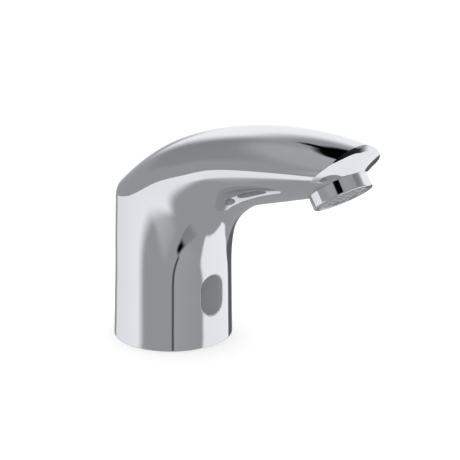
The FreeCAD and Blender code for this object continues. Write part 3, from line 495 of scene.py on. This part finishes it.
# name, colour, drift, metallic, roughness clean and worn, grain, depth, turned, coat
FINISHES = {
    "grey_grid_plastic": ((0.56, 0.57, 0.58), -0.06, 0.0, (0.38, 0.5), 2200.0, 0.00002),
    "white_acetal": ((0.78, 0.78, 0.75), -0.04, 0.0, (0.32, 0.45), 1800.0, 0.00002),
    "grey_glass_filled_plastic": ((0.17, 0.18, 0.19), 0.12, 0.0, (0.45, 0.6), 1500.0, 0.00004),
    "black_moulded_plastic": ((0.022, 0.022, 0.024), 0.3, 0.0, (0.4, 0.55), 1600.0, 0.00003),
    # window seal: its pale tone is a painted reflection, standing for the light rim that shows round the
    # window
    "seal_painted_light_rim": ((0.80, 0.80, 0.79), -0.04, 0.0, (0.25, 0.4), 1500.0, 0.00002),
    "nitrile_rubber": ((0.016, 0.016, 0.017), 0.35, 0.0, (0.55, 0.75), 1200.0, 0.00004),
    "turned_brass": ((0.66, 0.48, 0.22), -0.1, 1.0, (0.2, 0.34), 2600.0, 0.00001, True),
    "turned_stainless": ((0.58, 0.58, 0.59), -0.06, 1.0, (0.2, 0.32), 2800.0, 0.00001, True),
    "spring_wire": ((0.55, 0.55, 0.56), -0.08, 1.0, (0.22, 0.35), 3000.0, 0.000005),
    "zinc_plated_steel": ((0.58, 0.58, 0.57), -0.12, 1.0, (0.28, 0.42), 1800.0, 0.00001),
    "pressed_steel": ((0.5, 0.5, 0.51), -0.08, 1.0, (0.3, 0.45), 1400.0, 0.00001),
    "nickel_strip": ((0.62, 0.6, 0.56), -0.06, 1.0, (0.18, 0.3), 2400.0, 0.000005),
    "cell_sleeve": ((0.05, 0.06, 0.16), 0.15, 0.0, (0.25, 0.4), 900.0, 0.00001, False, 0.4),
    "lead_insulation": ((0.03, 0.03, 0.03), 0.3, 0.0, (0.35, 0.5), 2000.0, 0.00001),
    "clear_lens": ((0.62, 0.66, 0.72), -0.05, 0.0, (0.05, 0.12), 1500.0, 0.000002, False, 0.6),
    "dark_lens": ((0.03, 0.02, 0.045), 0.2, 0.0, (0.05, 0.12), 1500.0, 0.000002, False, 0.6),
}

NODES_OF_FINISH = {
    "grey_grid_plastic": ("outlet_grid",),
    "white_acetal": ("aerator_cage", "diffuser_plate", "valve_piston"),
    "grey_glass_filled_plastic": ("flow_regulator", "valve_body", "valve_cover"),
    "black_moulded_plastic": ("sensor_housing", "control_chip", "coil_bobbin", "battery_tray"),
    "seal_painted_light_rim": ("window_seal",),
    "nitrile_rubber": ("aerator_washer", "tube_seals", "foot_gasket", "inlet_seal",
                       "piston_pad", "piston_seal", "core_seal", "plunger_tip"),
    "turned_brass": ("water_tube", "base_plate"),
    "turned_stainless": ("core_tube", "plunger", "fixed_core"),
    "spring_wire": ("plunger_spring",),
    "zinc_plated_steel": ("body_screws", "carrier_screws", "cover_screws"),
    "pressed_steel": ("coil_yoke", "coil_nut"),
    "nickel_strip": ("battery_contacts",),
    "cell_sleeve": ("battery_cells",),
    "lead_insulation": ("coil_lead", "battery_lead"),
    "clear_lens": ("ir_emitter",),
    "dark_lens": ("ir_receiver",),
}


def dress(piece, material):
    piece.data.materials.clear()
    piece.data.materials.append(material)


def dress_all(chrome):
    """Give every node its material."""
    for finish, names in NODES_OF_FINISH.items():
        material = make_finish(finish, *FINISHES[finish])
        for name in names:
            dress(nodes[name], material)
    woven = make_fine_mesh()
    dress(nodes["aerator_meshes"], woven)
    dress(nodes["inlet_strainer"], woven)
    dress(nodes["coil_winding"], make_winding())
    dress(nodes["circuit_board"], make_board())
    dress(nodes["sensor_window"], make_window())
    dress(nodes["tap_body"], chrome)
    dress(nodes["aerator_ring"], chrome)


# ---------------------------------------------------------------- chrome surfaces

MERGE = 2e-6                                # metres; points closer than this are one
TANGENT = math.cos(math.radians(4.0))       # faces that meet flatter than this run on smoothly
STEEPEST_NEIGHBOUR = 0.5                    # rise over distance; steeper ones lie past an edge
FEWEST_NEIGHBOURS = 8
NEAR_WEIGHT = 0.15                          # smaller values trust the nearest neighbours more
LARGEST_TILT = 0.25                         # slope of a fit that is no longer believed
OUTLET_LIP = Vector((0.1046, 0.0, 0.0839))
OUTLET_TILT = math.radians(33.0)
RING_TURNS = 160                            # facets round the aerator ring
MILLIMETRE = 0.001


def face_labels(mesh):
    """Number of the CAD face that each vertex belongs to; the faces share no vertices."""
    root = list(range(len(mesh.vertices)))

    def find(vertex):
        while root[vertex] != vertex:
            root[vertex] = root[root[vertex]]
            vertex = root[vertex]
        return vertex

    for edge in mesh.edges:
        first, second = (find(vertex) for vertex in edge.vertices)
        if first != second:
            root[first] = second
    return np.array([find(vertex) for vertex in range(len(root))])


def triangles_of(source):
    """Points and triangles of a node and the CAD face of each triangle; points that coincide are one."""
    mesh = source.data
    mesh.calc_loop_triangles()
    points = np.empty(len(mesh.vertices) * 3)
    mesh.vertices.foreach_get("co", points)
    points = points.reshape(-1, 3)
    corners = np.empty(len(mesh.loop_triangles) * 3, dtype=np.int64)
    mesh.loop_triangles.foreach_get("vertices", corners)
    labels = face_labels(mesh)[corners.reshape(-1, 3)[:, 0]]
    keys = np.round(points / MERGE).astype(np.int64)
    first, same = np.unique(keys, axis=0, return_index=True, return_inverse=True)[1:]
    triangles = same.ravel()[corners].reshape(-1, 3)
    whole = (triangles[:, 0] != triangles[:, 1]) & (triangles[:, 1] != triangles[:, 2])
    whole &= triangles[:, 2] != triangles[:, 0]
    return points[first], triangles[whole], labels[whole]


def facet_normals(points, triangles):
    """Normals of the triangles and twice their areas."""
    a, b, c = (points[triangles[:, k]] for k in range(3))
    across = np.cross(b - a, c - a)
    area = np.linalg.norm(across, axis=1)
    return across / np.maximum(area, 1e-18)[:, None], area


def fitted_normal(away, mean):
    """Normal at a point of a curved surface fitted to its neighbours, starting from the mean normal."""
    side = np.cross(mean, (0.0, 0.0, 1.0) if abs(mean[2]) < 0.8 else (1.0, 0.0, 0.0))
    side /= np.linalg.norm(side)
    front = np.cross(mean, side)
    u, v, w = away @ side, away @ front, away @ mean
    distance = np.sqrt(u * u + v * v + w * w)
    reach = max(float(np.median(distance)), 1e-6)
    usable = abs(w) < STEEPEST_NEIGHBOUR * distance
    if usable.sum() < FEWEST_NEIGHBOURS:
        return mean
    u, v, w = u[usable] / reach, v[usable] / reach, w[usable] / reach
    weight = 1.0 / (NEAR_WEIGHT + u * u + v * v)
    table = np.stack([u, v, u * u, u * v, v * v], axis=1) * weight[:, None]
    fit = np.linalg.lstsq(table, w * weight, rcond=1e-4)[0]
    if math.hypot(fit[0], fit[1]) > LARGEST_TILT:
        return mean
    normal = mean - side * fit[0] - front * fit[1]
    return normal / np.linalg.norm(normal)


def normals_by_face(points, triangles, labels):
    """Normal of every point in every CAD face that it touches."""
    normals, area = facet_normals(points, triangles)
    fans = {}
    for number, triangle in enumerate(triangles.tolist()):
        for corner in triangle:
            fans.setdefault((corner, int(labels[number])), []).append(number)
    near = {key: set(triangles[fan].ravel().tolist()) for key, fan in fans.items()}
    result = {}
    for (corner, label), fan in fans.items():
        mean = (normals[fan] * area[fan][:, None]).sum(axis=0)
        mean /= max(np.linalg.norm(mean), 1e-18)
        ring = set()
        for other in near[(corner, label)]:
            ring |= near[(other, label)]
        ring.discard(corner)
        result[(corner, label)] = fitted_normal(points[list(ring)] - points[corner], mean)
    return result


def joined_normals(by_face):
    """The same normals, made one across the seams where two CAD faces run on smoothly."""
    at_point = {}
    for corner, label in by_face:
        at_point.setdefault(corner, []).append(label)
    levels = {}
    for corner, labels in at_point.items():
        for first in labels:
            for second in labels:
                if first < second:
                    level = float(by_face[(corner, first)] @ by_face[(corner, second)])
                    levels.setdefault((first, second), []).append(level)
    smooth = {pair for pair, values in levels.items() if np.median(values) > TANGENT}
    result = {}
    for corner, labels in at_point.items():
        for label in labels:
            total = by_face[(corner, label)].copy()
            for other in labels:
                if (min(label, other), max(label, other)) in smooth:
                    total += by_face[(corner, other)]
            result[(corner, label)] = total / np.linalg.norm(total)
    return result


def polished_copy(name, source, body, material):
    """The same surface as the node, with normals true enough for a mirror."""
    points, triangles, labels = triangles_of(source)
    normals = joined_normals(normals_by_face(points, triangles, labels))
    piece = new_object(name, points.tolist(), triangles.tolist(), material)
    mesh = piece.data
    mesh.polygons.foreach_set("use_smooth", [True] * len(mesh.polygons))
    split = [normals[(corner, int(labels[number]))] for number, triangle in enumerate(triangles.tolist())
             for corner in triangle]
    mesh.normals_split_custom_set(split)
    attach(piece, body)
    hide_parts(source.name)


# outline of the aerator ring: radius and height above its lip in millimetres, and how far the
# corner there is rounded
RING_OUTLINE = (
    (11.0, 0.0, 0.25), (12.5, 0.0, 0.6), (12.5, 6.0, 0.12), (12.0, 6.0, 0.1), (12.0, 11.6, 0.1),
    (11.0, 11.6, 0.1), (11.0, 0.9, 0.05), (10.2, 0.9, 0.1), (10.2, 0.15, 0.1), (11.0, 0.15, 0.03),
)
ROUNDING_STEPS = 6


def rounded_outline(corners):
    """Points and normals along a closed outline with its corners rounded; a pair for each run."""
    spots = []
    for number, (radius, height, rounding) in enumerate(corners):
        here = Vector((radius, height))
        before = (Vector(corners[number - 1][:2]) - here).normalized()
        after = (Vector(corners[(number + 1) % len(corners)][:2]) - here).normalized()
        centre = here + (before + after) * rounding
        first, last = here + before * rounding - centre, here + after * rounding - centre
        outward = 1.0 if (before.x * after.y - before.y * after.x) < 0.0 else -1.0
        for step in range(ROUNDING_STEPS + 1):
            part = step / ROUNDING_STEPS
            way = first * math.cos(part * math.pi / 2.0) + last * math.sin(part * math.pi / 2.0)
            spots.append((centre + way, way.normalized() * outward))
    return spots


def lathed_ring(name, source, body, material):
    """The aerator ring turned from its outline about the outlet axis."""
    spots = rounded_outline(RING_OUTLINE)
    ahead = Vector((math.cos(OUTLET_TILT), 0.0, math.sin(OUTLET_TILT)))
    side = Vector((0.0, 1.0, 0.0))
    upward = Vector((-math.sin(OUTLET_TILT), 0.0, math.cos(OUTLET_TILT)))
    points, ways = [], []
    for turn in range(RING_TURNS):
        angle = 2.0 * math.pi * turn / RING_TURNS
        spoke = ahead * math.cos(angle) + side * math.sin(angle)
        for spot, way in spots:
            points.append(OUTLET_LIP + (spoke * spot.x + upward * spot.y) * MILLIMETRE)
            ways.append(spoke * way.x + upward * way.y)
    count = len(spots)
    faces = []
    for turn in range(RING_TURNS):
        here, there = turn * count, (turn + 1) % RING_TURNS * count
        for k in range(count):
            following = (k + 1) % count
            faces.append((here + k, there + k, there + following, here + following))
    piece = new_object(name, points, faces, material)
    mesh = piece.data
    mesh.polygons.foreach_set("use_smooth", [True] * len(mesh.polygons))
    mesh.normals_split_custom_set([ways[corner] for face in faces for corner in face])
    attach(piece, body)
    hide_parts(source.name)


chrome = make_chrome()
dress_all(chrome)
polished_copy("tap_body_polished", nodes["tap_body"], "tap", chrome)
lathed_ring("aerator_ring_polished", nodes["aerator_ring"], "tap", chrome)

make_camera()
make_world()
make_floor()
card_finish = card_material()
for card in CARDS:
    make_card(card_finish, *card)
bpy.context.scene.view_settings.view_transform = "Standard"
